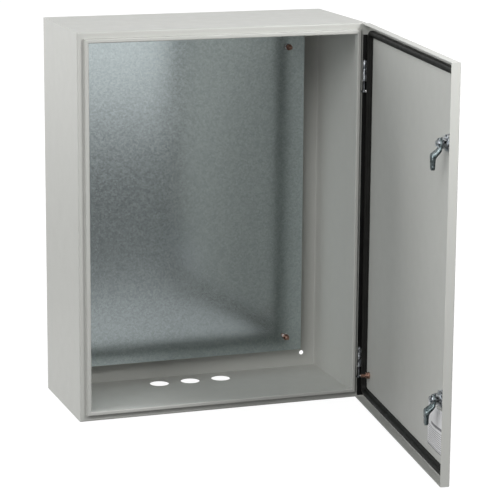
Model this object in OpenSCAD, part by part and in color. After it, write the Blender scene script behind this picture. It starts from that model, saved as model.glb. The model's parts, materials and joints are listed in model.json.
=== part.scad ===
// Sheet-steel wall enclosure with a hinged, gasketed door and two quarter-turn cam locks.
// +Z is up, the door faces -Y, and the wall is the plane y = 0.
// The origin is the centre of the four wall-bolt holes, on the back face.

/* [Body] */
// Outer width of the body
body_w = 500; // [400:10:700]
// Outer height of the body
body_h = 650; // [500:10:900]
// Depth of the body, from the wall to the rain gutter behind the door
body_d = 220; // [150:5:320]
// Sheet thickness of the body
sheet = 1.2; // [1:0.1:1.6]
// Inside radius of the folds
fold_r = 1.5; // [0.8:0.1:2]

/* [Front rim] */
// Width of the rain gutter, from the side of the body to the rim
gutter_w = 10.9; // [10.7:0.1:14]
// Width of the folded rim
rim_w = 7; // [5:0.1:9]
// Height of the rim in front of the gutter
rim_h = 8; // [6:0.5:10]
// Outside radius of the rim's folded nose
nose_r = 2; // [1.4:0.1:2.4]
// How far the inner leg of the rim reaches behind the gutter face
rim_return = 5; // [3:0.5:6]

/* [Door] */
// Sheet thickness of the door
door_t = 1.4; // [1:0.1:1.6]
// Depth of the door's skirt, outside
skirt = 15; // [14:0.5:20]
// Gap between the skirt and the gutter when the door is shut
door_gap = 2.5; // [2.3:0.1:3.5]
// How far the door stands in from the body's outline
door_inset = 0.5; // [0:0.1:1]
// Outside radius of the door's folded edges
door_r = 2.4; // [1.8:0.1:3]
// Opening angle of the door as it stands
door_open = 83; // [0:1:110]

/* [Door gasket] */
// Width of the gasket's ridge
ridge_w = 8; // [6:0.5:10]
// Width of the gasket's thin foot, inside the ridge
foot_w = 4.5; // [3:0.5:8]
// Thickness of the foot
foot_t = 2; // [1:0.25:3]
// Inside radius of the gasket's corners
gasket_r = 5; // [3:0.5:12]
// Gap between the gasket and the rim when the door is shut
gasket_gap = 0.3; // [0.2:0.1:1]
// Thickness of the rubber strip on the hinge side of the skirt
strip_t = 0.5; // [0.3:0.1:0.6]
// How far the strip stops short of the top of the body
strip_top = 19.5; // [12:0.5:40]
// How far the strip stops short of the bottom of the body
strip_bottom = 4; // [3:0.5:20]

/* [Hinges] */
// Distance of the hinge axis from the side of the body
hinge_in = 4.6; // [4.5:0.1:5]
// Distance of the hinge axis in front of the gutter
hinge_out = 6.8; // [6.5:0.1:7.5]
// Outside diameter of the door's hinge barrel
barrel_d = 4.2; // [3.8:0.1:4.3]
// Length of the door's hinge barrel
barrel_len = 33; // [20:1:60]
// Diameter of the hinge pin inside the barrel
pin_d = 2.2; // [1.8:0.1:2.4]
// Length of the stout part of the pin, below the barrel
pin_foot = 17; // [8:1:30]
// Distance from the top of the body to the top of the upper barrel
hinge_from_top = 63; // [40:1:120]
// Distance from the bottom of the body to the lower hinge tab
hinge_from_bottom = 37; // [25:1:120]
// Thickness of the hinge tabs
tab_t = 2; // [1.5:0.25:3]

/* [Locks] */
// Distance of the lock axes from the free side of the body
lock_from_side = 46; // [40:1:60]
// Distance of the lock axes from the top and the bottom of the body
lock_from_end = 127; // [90:1:250]
// Diameter of the lock barrel
lock_d = 18; // [16:0.5:20]
// Diameter of the turning core
core_d = 12; // [10:0.5:13]
// Length of the cam, from the lock axis to its tip
cam_len = 41; // [36:1:42]
// Width of the cam
cam_w = 16; // [12:1:18]
// Thickness of the cam
cam_t = 3; // [2:0.5:4]

/* [Mounting plate] */
// Gap between the plate and each side of the body
plate_side = 35; // [25:1:60]
// Gap between the plate and the top and bottom of the body
plate_end = 37.5; // [30:0.5:60]
// Thickness of the plate
plate_t = 2; // [1.5:0.25:3]
// Distance from the back of the body to the plate's front face
plate_front = 22; // [15:1:60]
// Distance of the plate's studs from its side edges
stud_side = 30; // [20:1:60]
// Distance of the plate's studs from its top and bottom edges
stud_end = 25.5; // [18:0.5:60]
// Diameter of the studs
stud_d = 6; // [5:1:8]

/* [Holes] */
// Diameter of the wall-bolt holes
wall_hole_d = 8; // [6:0.5:10]
// Distance of the wall-bolt holes from the sides of the body
wall_hole_side = 26; // [20:1:60]
// Distance of the wall-bolt holes from the top and bottom of the body
wall_hole_end = 25; // [20:1:60]
// Diameter of the cable entries
entry_d = 34; // [20:1:40]
// Distance between the centres of the cable entries
entry_pitch = 57; // [45:1:90]
// Distance of the cable entries from the back of the body
entry_back = 38; // [32:1:100]
// Number of cable entries
entries = 3; // [1:1:5]

/* [Door earth stud] */
// Distance of the door's earth stud from the hinge side of the body
earth_side = 38; // [32:1:80]
// Distance of the door's earth stud from the bottom of the body
earth_end = 49; // [40:1:120]
// Length of the door's earth stud
earth_len = 15; // [10:1:25]

/* [Hidden] */
$fn = 48;

PAINT = [0.79, 0.79, 0.76];
ZINC = [0.70, 0.72, 0.74];
GALVANISED = [0.55, 0.62, 0.63];
COPPER = [0.72, 0.45, 0.32];
RUBBER = [0.10, 0.10, 0.10];

// Over-length of a cutting body past the face it cuts
cut = 1;
// Running clearance on the radius of a turning fit
run_gap = 0.06;
// Clearance on the radius of a fastener in its hole
bolt_gap = 0.3;

half_w = body_w / 2;
half_h = body_h / 2;
fold_out = fold_r + sheet;
lip_w = gutter_w + rim_w;

// Door, in its shut place: y of its outer face, inner face and skirt edge
door_face = -body_d - door_gap - skirt;
door_inner = door_face + door_t;
skirt_edge = -body_d - door_gap;
// Inside radius of the door's folded edges
door_fold_r = max(door_r - door_t, 0.1);
door_w = body_w - 2 * door_inset;
door_h = body_h - 2 * door_inset;
// Inside of the skirt, measured in from the side of the body
skirt_in = door_inset + door_t;
axis_x = half_w - hinge_in;
axis_y = -body_d - hinge_out;

// Gasket section, measured in from the side of the body and from the door's inner face
ridge_mid = gutter_w + rim_w / 2;
ridge_h = -body_d - rim_h - gasket_gap - door_inner;
gasket_out = ridge_mid - ridge_w / 2;
gasket_w = ridge_w + foot_w;
ridge_round = 2;

// Hinge heights: z of each tab's lower face
ring_t = 1.2;
ring_d = 4.8;
pin_foot_d = 2.8;
tab_r = 3.2;
ring_gap = 0.2;
pin_head_t = 1.6;
hinge_stack = tab_t + pin_foot + ring_t + ring_gap + barrel_len;
hinge_z = [half_h - hinge_from_top - hinge_stack, -half_h + hinge_from_bottom];
leaf_t = 1.2;

// Lock stations, measured inwards from the door's inner face
seal_t = 1;
lock_seal_d = 26;
head_t = 3.5;
head_d = 28;
barrel_end = 12;
core_head_d = 15;
core_head_t = 2.5;
shank = 8;
hub_start = 12.6;
cam_washer_t = 1.2;
cam_washer_d = 15;
screw_head_t = 3.4;
screw_head_af = 9;
screw_d = 5;
lock_washer_t = 0.8;
lock_nut_t = 4;
lock_nut_af = 24;
// Space between the cam and the rim's inner leg
cam_gap = 1;
blade_start = -body_d + rim_return + cam_gap - door_inner;
lock_x = -half_w + lock_from_side;
lock_z = [half_h - lock_from_end, -half_h + lock_from_end];

// Mounting plate
plate_w = body_w - 2 * plate_side;
plate_h = body_h - 2 * plate_end;
stud_x = plate_w / 2 - stud_side;
stud_z = plate_h / 2 - stud_end;
stud_len = plate_front - sheet + 14;
spacer_d = 12;
washer_t = 1.2;
washer_d = 12;
nut_t = 5;
nut_af = 10;

// ---------- shared shapes ----------

// Hexagonal prism along +Z with a round hole
module hex_nut(across, height, hole) {
    difference() {
        cylinder(d = across / cos(30), h = height, $fn = 6);
        translate([0, 0, -cut]) cylinder(d = hole, h = height + 2 * cut);
    }
}

// Flat ring along +Z
module ring(outer, inner, height) {
    difference() {
        cylinder(d = outer, h = height);
        translate([0, 0, -cut]) cylinder(d = inner, h = height + 2 * cut);
    }
}

// Points +Z of its children along -Y, into the room
module to_front() rotate([90, 0, 0]) children();

// Points +Z of its children along +Y, into the body
module to_back() rotate([-90, 0, 0]) children();

// Copies its children to the four corners of a rectangle in the XZ plane
module corners(x, z) {
    for (sx = [-1, 1], sz = [-1, 1]) translate([sx * x, 0, sz * z]) children();
}

// Swings its children, modelled with the door shut, to where the door stands
module on_door() {
    translate([axis_x, axis_y, 0]) rotate([0, 0, door_open]) translate([-axis_x, -axis_y, 0]) children();
}

// One quarter of a flat ring, in the quadrant that faces the given signs
module fold(centre, outer, inner, facing) {
    translate(centre) intersection() {
        difference() {
            circle(r = outer);
            circle(r = inner);
        }
        translate([facing[0] < 0 ? -outer : 0, facing[1] < 0 ? -outer : 0]) square(outer);
    }
}

// ---------- body ----------

// Section of a wall's front edge: x runs in from the side of the body, y back from the gutter.
// The wall folds in to the gutter, out to the rim, round its nose and back along its inner leg.
module rim_section(wall_end) {
    gutter_fold = fold_r / 2;
    translate([0, fold_out]) square([sheet, wall_end - fold_out]);
    fold([fold_out, fold_out], fold_out, fold_r, [-1, -1]);
    translate([fold_out, 0]) square([gutter_w - gutter_fold - fold_out, sheet]);
    fold([gutter_w - gutter_fold, -gutter_fold], gutter_fold + sheet, gutter_fold, [1, 1]);
    translate([gutter_w, nose_r - rim_h]) square([sheet, rim_h - nose_r - gutter_fold]);
    for (side = [-1, 1]) fold([gutter_w + rim_w / 2 + side * (rim_w / 2 - nose_r), nose_r - rim_h],
        nose_r, max(nose_r - sheet, 0.1), [side, -1]);
    translate([gutter_w + nose_r, -rim_h]) square([rim_w - 2 * nose_r, sheet]);
    translate([lip_w - sheet, nose_r - rim_h]) square([sheet, rim_h - nose_r + rim_return]);
}

// Space of the front edge of one wall near a corner, cut along the mitre.
// side_keeps is true for the side walls, which keep what lies outside the mitre.
module mitre(side_keeps) {
    reach = lip_w + cut;
    front = rim_h + cut;
    translate([0, -body_d + rim_return + cut, 0]) rotate([90, 0, 0])
        linear_extrude(height = front + rim_return + cut)
            polygon(side_keeps
                ? [[-half_w - cut, half_h + cut], [-half_w + reach, half_h - reach], [-half_w + reach, half_h + cut]]
                : [[-half_w - cut, half_h + cut], [-half_w - cut, half_h - reach], [-half_w + reach, half_h - reach]]);
}

// The side wall's own strip behind the front fold, which runs the full height
module side_strip() {
    translate([-half_w - cut, -body_d + fold_out, -half_h - cut])
        cube([sheet + cut, body_d, body_h + 2 * cut]);
}

module mirrored(signs) {
    for (s = signs) mirror([s[0] < 0 ? 1 : 0, 0, 0]) mirror([0, 0, s[1] < 0 ? 1 : 0]) children();
}

module body_wrap() color(PAINT) difference() {
    translate([0, 0, -half_h]) linear_extrude(height = body_h) {
        for (side = [0, 1]) mirror([side, 0]) {
            translate([-half_w, -body_d]) rim_section(body_d - fold_out);
            fold([-half_w + fold_out, -fold_out], fold_out, fold_r, [-1, 1]);
        }
        translate([-half_w + fold_out, -sheet]) square([body_w - 2 * fold_out, sheet]);
    }
    mirrored([[1, 1], [-1, 1], [1, -1], [-1, -1]]) difference() {
        mitre(true);
        side_strip();
    }
    corners(half_w - wall_hole_side, half_h - wall_hole_end)
        translate([0, cut, 0]) to_front() cylinder(d = wall_hole_d, h = sheet + 2 * cut);
}

// Top wall of the body, with its own length of gutter and rim
module cap() {
    inner_w = body_w - 2 * sheet;
    difference() {
        translate([-half_w, -body_d, half_h]) rotate([0, 90, 0]) linear_extrude(height = body_w)
            rim_section(fold_out + cut);
        mirrored([[1, 1], [-1, 1]]) {
            mitre(false);
            side_strip();
        }
    }
    translate([0, 0, half_h - sheet]) linear_extrude(height = sheet) {
        translate([-inner_w / 2, -body_d + fold_out])
            square([inner_w, body_d - fold_out - sheet - fold_r]);
        translate([-inner_w / 2 + fold_r, -sheet - fold_r - cut]) square([inner_w - 2 * fold_r, fold_r + cut]);
        for (side = [-1, 1])
            translate([side * (inner_w / 2 - fold_r), -sheet - fold_r]) circle(r = fold_r);
    }
}

module top_cap() color(PAINT) cap();

module bottom_cap() color(PAINT) difference() {
    mirror([0, 0, 1]) cap();
    for (i = [0 : entries - 1])
        translate([(i - (entries - 1) / 2) * entry_pitch, -entry_back, -half_h - cut])
            cylinder(d = entry_d, h = sheet + 2 * cut, $fn = 96);
}

// ---------- mounting plate ----------

module mounting_plate() color(GALVANISED) difference() {
    translate([-plate_w / 2, -plate_front, -plate_h / 2]) cube([plate_w, plate_t, plate_h]);
    corners(stud_x, stud_z)
        translate([0, -plate_front + plate_t + cut, 0]) to_front()
            cylinder(d = stud_d + 2 * bolt_gap, h = plate_t + 2 * cut);
}

module plate_studs() color(COPPER) corners(stud_x, stud_z)
    translate([0, -sheet, 0]) to_front() {
        tip = stud_d / 8;
        cylinder(d = stud_d, h = stud_len - tip);
        translate([0, 0, stud_len - tip]) cylinder(d1 = stud_d, d2 = stud_d - 2 * tip, h = tip);
    }

module plate_spacers() color(ZINC) corners(stud_x, stud_z)
    translate([0, -sheet, 0]) to_front()
        ring(spacer_d, stud_d + 2 * bolt_gap, plate_front - plate_t - sheet);

module plate_washers() color(ZINC) corners(stud_x, stud_z)
    translate([0, -plate_front, 0]) to_front() ring(washer_d, stud_d + 2 * bolt_gap, washer_t);

module plate_nuts() color(ZINC) corners(stud_x, stud_z)
    translate([0, -plate_front - washer_t, 0]) to_front() hex_nut(nut_af, nut_t, stud_d);

// ---------- hinges ----------

// Tab that stands on the gutter and carries the pin, at height z
module hinge_tab(z) color(ZINC) translate([axis_x, axis_y, z]) difference() {
    union() {
        cylinder(r = tab_r, h = tab_t);
        translate([-tab_r, 0, 0]) cube([2 * tab_r, hinge_out, tab_t]);
    }
    translate([0, 0, -cut]) cylinder(d = pin_d, h = tab_t + 2 * cut);
}

// Pin: riveted into the tab, stout below the ring, slim inside the barrel, domed on top
module hinge_pin(z) color(ZINC) translate([axis_x, axis_y, z]) {
    slim_end = hinge_stack + ring_gap;
    dome = pin_d / 2 + 0.7;
    cylinder(d = pin_d, h = tab_t);
    translate([0, 0, tab_t]) cylinder(d = pin_foot_d, h = pin_foot);
    translate([0, 0, tab_t + pin_foot]) cylinder(d = pin_d, h = slim_end - tab_t - pin_foot);
    translate([0, 0, slim_end]) rotate_extrude() intersection() {
        scale([1, pin_head_t / dome]) circle(r = dome);
        square(dome);
    }
}

module hinge_ring(z) color(ZINC) translate([axis_x, axis_y, z + tab_t + pin_foot])
    ring(ring_d, pin_d, ring_t);

// Door half of a hinge: the barrel, with its leaf standing on the door's inner face
module hinge_barrel(z) color(ZINC) on_door()
    translate([axis_x, axis_y, z + hinge_stack - barrel_len]) difference() {
        reach = axis_y - door_inner;
        // Half width of the leaf's foot, which ends where the door's fold begins
        leaf_out = hinge_in - skirt_in - door_fold_r;
        union() {
            cylinder(d = barrel_d, h = barrel_len);
            translate([-leaf_t / 2, -reach, 0]) cube([leaf_t, reach, barrel_len]);
            translate([-leaf_out, -reach, 0]) cube([2 * leaf_out, leaf_t, barrel_len]);
        }
        translate([0, 0, -cut]) cylinder(d = pin_d + 2 * run_gap, h = barrel_len + 2 * cut);
    }

module hinge_tab_upper() hinge_tab(hinge_z[0]);
module hinge_tab_lower() hinge_tab(hinge_z[1]);
module hinge_pin_upper() hinge_pin(hinge_z[0]);
module hinge_pin_lower() hinge_pin(hinge_z[1]);
module hinge_ring_upper() hinge_ring(hinge_z[0]);
module hinge_ring_lower() hinge_ring(hinge_z[1]);
module hinge_barrel_upper() hinge_barrel(hinge_z[0]);
module hinge_barrel_lower() hinge_barrel(hinge_z[1]);

// ---------- door ----------

// Outline of width w and depth d whose two front corners are rounded
module rounded_front(w, d, r) {
    translate([-w / 2 + r, 0]) square([w - 2 * r, d]);
    translate([-w / 2, r]) square([w, d - r]);
    for (side = [-1, 1]) translate([side * (w / 2 - r), r]) circle(r = r);
}

// Block with rounded front edges: its front is at y, and it runs back by d
module pan_block(w, h, d, r, y) {
    translate([0, y, 0]) intersection() {
        translate([0, 0, -h / 2]) linear_extrude(height = h) rounded_front(w, d, r);
        translate([-w / 2, 0, 0]) rotate([90, 0, 90]) linear_extrude(height = w)
            rotate([0, 0, -90]) mirror([1, 0]) rounded_front(h, d, r);
    }
}

module door_panel() color(PAINT) on_door() difference() {
    pan_block(door_w, door_h, skirt, door_r, door_face);
    pan_block(door_w - 2 * door_t, door_h - 2 * door_t, skirt, door_fold_r, door_inner);
    for (z = lock_z) translate([lock_x, door_face - cut, z]) to_back()
        cylinder(d = lock_d + 2 * run_gap, h = door_t + 2 * cut);
    for (z = hinge_z) tab_slot(z);
}

// Slot in the hinge side of the skirt, which lets the tab through as the door swings
module tab_slot(z) {
    slot_gap = 0.8;
    translate([axis_x, door_inner + slot_gap, z - slot_gap])
        cube([hinge_in + cut, skirt, tab_t + 2 * slot_gap]);
}

// Gasket section: x runs in from the gasket's outer side, y from the door's inner face
module gasket_section() {
    square([gasket_w, foot_t]);
    square([ridge_w, ridge_h - ridge_round]);
    translate([ridge_round, 0]) square([ridge_w - 2 * ridge_round, ridge_h]);
    for (x = [ridge_round, ridge_w - ridge_round]) translate([x, ridge_h - ridge_round]) circle(r = ridge_round);
}

module door_gasket() color(RUBBER) on_door() translate([0, door_inner, 0]) to_back() {
    outer_r = gasket_w + gasket_r;
    x_mid = half_w - gasket_out - outer_r;
    z_mid = half_h - gasket_out - outer_r;
    for (turn = [0 : 3]) rotate([0, 0, 90 * turn]) {
        along = turn % 2 == 0 ? z_mid : x_mid;
        across = turn % 2 == 0 ? x_mid : z_mid;
        translate([across + outer_r, along, 0]) rotate([90, 0, 0]) mirror([1, 0, 0])
            linear_extrude(height = 2 * along) gasket_section();
        translate([across, along, 0]) rotate_extrude(angle = 90)
            translate([outer_r, 0]) mirror([1, 0]) gasket_section();
    }
}

module hinge_side_strip() color(RUBBER) on_door() difference() {
    edge = 1.6;
    relief = 1;
    translate([half_w - skirt_in - strip_t, door_inner + door_fold_r, -half_h + strip_bottom])
        cube([strip_t, skirt_edge - edge - door_inner - door_fold_r, body_h - strip_top - strip_bottom]);
    for (z = hinge_z) {
        tab_slot(z);
        translate([axis_x, door_inner - cut, z + tab_t + pin_foot - relief])
            cube([hinge_in, skirt + cut, ring_t + 2 * relief]);
    }
}

module earth_place() on_door() translate([half_w - earth_side, door_inner, -half_h + earth_end]) to_back() children();

module door_earth_stud() color(COPPER) earth_place() {
    tip = stud_d / 8;
    cylinder(d = stud_d, h = earth_len - tip);
    translate([0, 0, earth_len - tip]) cylinder(d1 = stud_d, d2 = stud_d - 2 * tip, h = tip);
}

module door_earth_washer() color(COPPER) earth_place() ring(washer_d, stud_d + 2 * bolt_gap, washer_t);

module door_earth_nut() color(ZINC) earth_place() translate([0, 0, washer_t]) hex_nut(nut_af, nut_t, stud_d);

// ---------- locks ----------

// Puts its children on lock i with +Z inwards and z = 0 on the door's inner face
module lock_place(i) on_door() translate([lock_x, door_inner, lock_z[i]]) to_back() children();

module lock_housing(i) color(ZINC) lock_place(i) difference() {
    head = -door_t - seal_t;
    bevel = 1;
    union() {
        translate([0, 0, head - head_t]) cylinder(d1 = head_d - 2 * bevel, d2 = head_d, h = bevel);
        translate([0, 0, head - head_t + bevel]) cylinder(d = head_d, h = head_t - bevel);
        translate([0, 0, head - cut]) cylinder(d = lock_d, h = barrel_end - head + cut);
    }
    translate([0, 0, head - head_t - cut]) cylinder(d = core_d + 2 * run_gap, h = barrel_end - head + head_t + 2 * cut);
    translate([0, 0, head - head_t - cut]) cylinder(d = core_head_d + 2 * run_gap, h = core_head_t + cut);
}

module lock_seal(i) color(RUBBER) lock_place(i) translate([0, 0, -door_t - seal_t])
    ring(lock_seal_d, lock_d, seal_t);

module lock_washer(i) color(ZINC) lock_place(i) {
    teeth = 12;
    tooth = 2;
    difference() {
        union() {
            cylinder(d = lock_nut_af + 1, h = lock_washer_t);
            for (k = [0 : teeth - 1]) rotate([0, 0, 360 * k / teeth])
                translate([lock_nut_af / 2, -tooth / 2, 0]) cube([tooth, tooth, lock_washer_t]);
        }
        translate([0, 0, -cut]) cylinder(d = lock_d, h = lock_washer_t + 2 * cut);
    }
}

module lock_nut(i) color(ZINC) lock_place(i) translate([0, 0, lock_washer_t])
    hex_nut(lock_nut_af, lock_nut_t, lock_d);

// Turning core: a head that sits in the housing, with the two-bit key post, and a square shank behind
module lock_core(i) color(ZINC) lock_place(i) {
    head_front = -door_t - seal_t - head_t;
    socket_d = 10;
    socket_depth = 6;
    post_d = 4.5;
    bit = 1.6;
    difference() {
        union() {
            translate([0, 0, head_front]) cylinder(d = core_head_d, h = core_head_t - run_gap);
            translate([0, 0, head_front]) cylinder(d = core_d, h = hub_start - head_front);
            translate([-shank / 2, -shank / 2, hub_start]) cube([shank, shank, cam_t]);
        }
        translate([0, 0, head_front - cut]) cylinder(d = socket_d, h = socket_depth + cut);
        translate([0, 0, barrel_end - screw_d]) cylinder(d = screw_d, h = hub_start + cam_t);
    }
    translate([0, 0, head_front + 0.5]) {
        cylinder(d = post_d, h = socket_depth - 0.5);
        translate([-post_d / 2 - bit, -bit / 2, 0]) cube([post_d + 2 * bit, bit, socket_depth - 0.5]);
    }
}

// Cam: the hub sits on the core's square shank, a crank lifts the blade clear of the rim's inner leg
module lock_cam(i) color(ZINC) lock_place(i) {
    crank_start = shank / 2 + 5;
    crank_end = crank_start + (blade_start - hub_start) * 0.9;
    tip_r = cam_w * 0.35;
    difference() {
        intersection() {
            rotate([0, 90, 0]) translate([0, 0, -cam_w / 2 - cut]) linear_extrude(height = cam_w + 2 * cut)
                polygon([for (p = [[-cam_w / 2 - cut, hub_start], [crank_start, hub_start],
                                   [crank_end, blade_start], [cam_len + cut, blade_start],
                                   [cam_len + cut, blade_start + cam_t],
                                   [crank_end - cam_t * 0.4, blade_start + cam_t],
                                   [crank_start - cam_t * 0.4, hub_start + cam_t],
                                   [-cam_w / 2 - cut, hub_start + cam_t]]) [-p[1], p[0]]]);
            translate([0, 0, hub_start - cut]) linear_extrude(height = blade_start + cam_t) {
                circle(d = cam_w);
                translate([-cam_w / 2, 0]) square([cam_w, crank_end]);
                polygon([[-cam_w / 2, crank_end], [cam_w / 2, crank_end],
                         [tip_r, cam_len - tip_r], [-tip_r, cam_len - tip_r]]);
                translate([0, cam_len - tip_r]) circle(r = tip_r);
            }
        }
        translate([-shank / 2, -shank / 2, hub_start - cut]) cube([shank, shank, cam_t + 2 * cut]);
    }
}

module cam_washer(i) color(ZINC) lock_place(i) translate([0, 0, hub_start + cam_t])
    ring(cam_washer_d, screw_d, cam_washer_t);

module cam_screw(i) color(ZINC) lock_place(i) translate([0, 0, hub_start + cam_t + cam_washer_t]) {
    cylinder(d = screw_head_af / cos(30), h = screw_head_t, $fn = 6);
    translate([0, 0, -cam_t - cam_washer_t - screw_d]) cylinder(d = screw_d, h = cam_t + cam_washer_t + screw_d);
}

module lock_housing_upper() lock_housing(0);
module lock_housing_lower() lock_housing(1);
module lock_seal_upper() lock_seal(0);
module lock_seal_lower() lock_seal(1);
module lock_washer_upper() lock_washer(0);
module lock_washer_lower() lock_washer(1);
module lock_nut_upper() lock_nut(0);
module lock_nut_lower() lock_nut(1);
module lock_core_upper() lock_core(0);
module lock_core_lower() lock_core(1);
module lock_cam_upper() lock_cam(0);
module lock_cam_lower() lock_cam(1);
module cam_washer_upper() cam_washer(0);
module cam_washer_lower() cam_washer(1);
module cam_screw_upper() cam_screw(0);
module cam_screw_lower() cam_screw(1);

body_wrap();
top_cap();
bottom_cap();
mounting_plate();
plate_studs();
plate_spacers();
plate_washers();
plate_nuts();
hinge_tab_upper();
hinge_tab_lower();
hinge_pin_upper();
hinge_pin_lower();
hinge_ring_upper();
hinge_ring_lower();
door_panel();
door_gasket();
hinge_side_strip();
hinge_barrel_upper();
hinge_barrel_lower();
door_earth_stud();
door_earth_washer();
door_earth_nut();
lock_housing_upper();
lock_housing_lower();
lock_seal_upper();
lock_seal_lower();
lock_washer_upper();
lock_washer_lower();
lock_nut_upper();
lock_nut_lower();
lock_core_upper();
lock_core_lower();
lock_cam_upper();
lock_cam_lower();
cam_washer_upper();
cam_washer_lower();
cam_screw_upper();
cam_screw_lower();
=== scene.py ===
"""Dresses the sheet-steel wall enclosure: powder coat, galvanised plate, plated hardware and foamed seal."""

import json
import logging
import math
from collections.abc import Sequence
from dataclasses import dataclass, field
from enum import Enum
from typing import Any

import bpy
from mathutils import Matrix, Vector


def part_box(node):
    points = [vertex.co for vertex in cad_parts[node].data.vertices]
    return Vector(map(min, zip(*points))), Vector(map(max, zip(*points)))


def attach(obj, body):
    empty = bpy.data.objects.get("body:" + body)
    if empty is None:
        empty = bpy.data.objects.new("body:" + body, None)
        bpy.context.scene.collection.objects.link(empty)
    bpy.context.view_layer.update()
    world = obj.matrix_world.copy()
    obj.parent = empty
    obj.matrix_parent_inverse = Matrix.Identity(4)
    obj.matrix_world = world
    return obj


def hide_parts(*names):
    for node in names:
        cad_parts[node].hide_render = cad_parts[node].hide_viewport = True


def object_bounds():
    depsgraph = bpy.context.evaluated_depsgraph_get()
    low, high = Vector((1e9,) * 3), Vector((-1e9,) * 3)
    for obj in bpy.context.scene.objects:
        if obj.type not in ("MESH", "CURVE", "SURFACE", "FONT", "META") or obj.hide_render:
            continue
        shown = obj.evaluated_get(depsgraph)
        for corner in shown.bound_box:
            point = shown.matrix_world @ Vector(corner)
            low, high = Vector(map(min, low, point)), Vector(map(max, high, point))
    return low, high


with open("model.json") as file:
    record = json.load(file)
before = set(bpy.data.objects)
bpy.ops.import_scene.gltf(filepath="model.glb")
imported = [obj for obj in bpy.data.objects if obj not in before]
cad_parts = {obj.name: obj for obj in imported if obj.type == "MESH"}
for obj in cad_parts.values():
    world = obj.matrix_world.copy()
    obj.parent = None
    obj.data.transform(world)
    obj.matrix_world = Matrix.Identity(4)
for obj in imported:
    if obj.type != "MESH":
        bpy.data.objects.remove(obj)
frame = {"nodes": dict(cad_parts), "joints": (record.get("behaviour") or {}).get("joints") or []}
CAD_LOW, CAD_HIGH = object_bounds()

LOG = logging.getLogger("enclosure")

MM = 0.001
# Corners closer than this, in metres, are joined
WELD_GAP = 1e-6
# Edges sharper than the first angle are rounded, and those sharper than the second stay creased
ROUND_ANGLE = math.radians(40)
CREASE_ANGLE = math.radians(35)
# Widths of the rounded edges of washers and nuts, in millimetres
WASHER_EDGE = 0.15
NUT_EDGE = 0.35
# How far soft rubber draws in, in metres, and its two slow waves along the height, in radians per metre
RUBBER_EASE = 0.02 * MM
RUBBER_WAVES = (95.0, 37.0)
WHITE = (1.0, 1.0, 1.0, 1.0)
# Numbers of the mix node's two colour inputs, whose names aren't theirs alone
MIX_COLOURS = (6, 7)

Pair = tuple[float, float]
Triple = tuple[float, float, float]
Socket = bpy.types.NodeSocket


class Body(Enum):
    """Rigid bodies of the enclosure, which pieces ride on."""

    CABINET = "body"
    DOOR = "door"
    UPPER_LOCK = "lock_upper"
    LOWER_LOCK = "lock_lower"


# ---------------------------------------------------------------- node trees


class Graph:
    """A node tree under construction, with short calls for its nodes and links."""

    def __init__(self, tree: bpy.types.NodeTree) -> None:
        """Takes over a tree.

        Args:
            tree: Tree that gets the nodes.
        """
        self.tree = tree

    def add(self, kind: str, inputs: dict[Any, Any] | None = None, **settings: Any) -> bpy.types.Node:
        """Adds a node.

        Args:
            kind: Blender's identifier of the node.
            inputs: Values or source sockets, by the name or index of the input.
            settings: Properties set on the node itself.

        Returns:
            The new node.
        """
        node = self.tree.nodes.new(kind)
        for key, value in settings.items():
            setattr(node, key, value)
        for key, value in (inputs or {}).items():
            self.feed(node, key, value)
        return node

    def feed(self, node: bpy.types.Node, key: str | int, value: Any) -> None:
        """Sets one input of a node, by a value or by a link.

        Args:
            node: Node whose input is set.
            key: Name or index of the input.
            value: A plain value, or a socket to link from.
        """
        if isinstance(value, Socket):
            self.tree.links.new(value, node.inputs[key])
        else:
            node.inputs[key].default_value = value

    def maths(self, operation: str, *terms: Any) -> Socket:
        """Adds a Math node.

        Args:
            operation: Blender's name of the operation.
            terms: Values or source sockets.

        Returns:
            The result.
        """
        return self.add("ShaderNodeMath", dict(enumerate(terms)), operation=operation).outputs[0]

    def spread(self, value: Socket, low: float, high: float, start: float = 0.0, end: float = 1.0) -> Socket:
        """Maps a value to another range, clamped.

        Args:
            value: Source socket.
            low: Result where the value is at start.
            high: Result where the value is at end.
            start: Start of the value's range.
            end: End of the value's range.

        Returns:
            The mapped value.
        """
        inputs = {"Value": value, "From Min": start, "From Max": end, "To Min": low, "To Max": high}
        return self.add("ShaderNodeMapRange", inputs).outputs["Result"]


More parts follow.
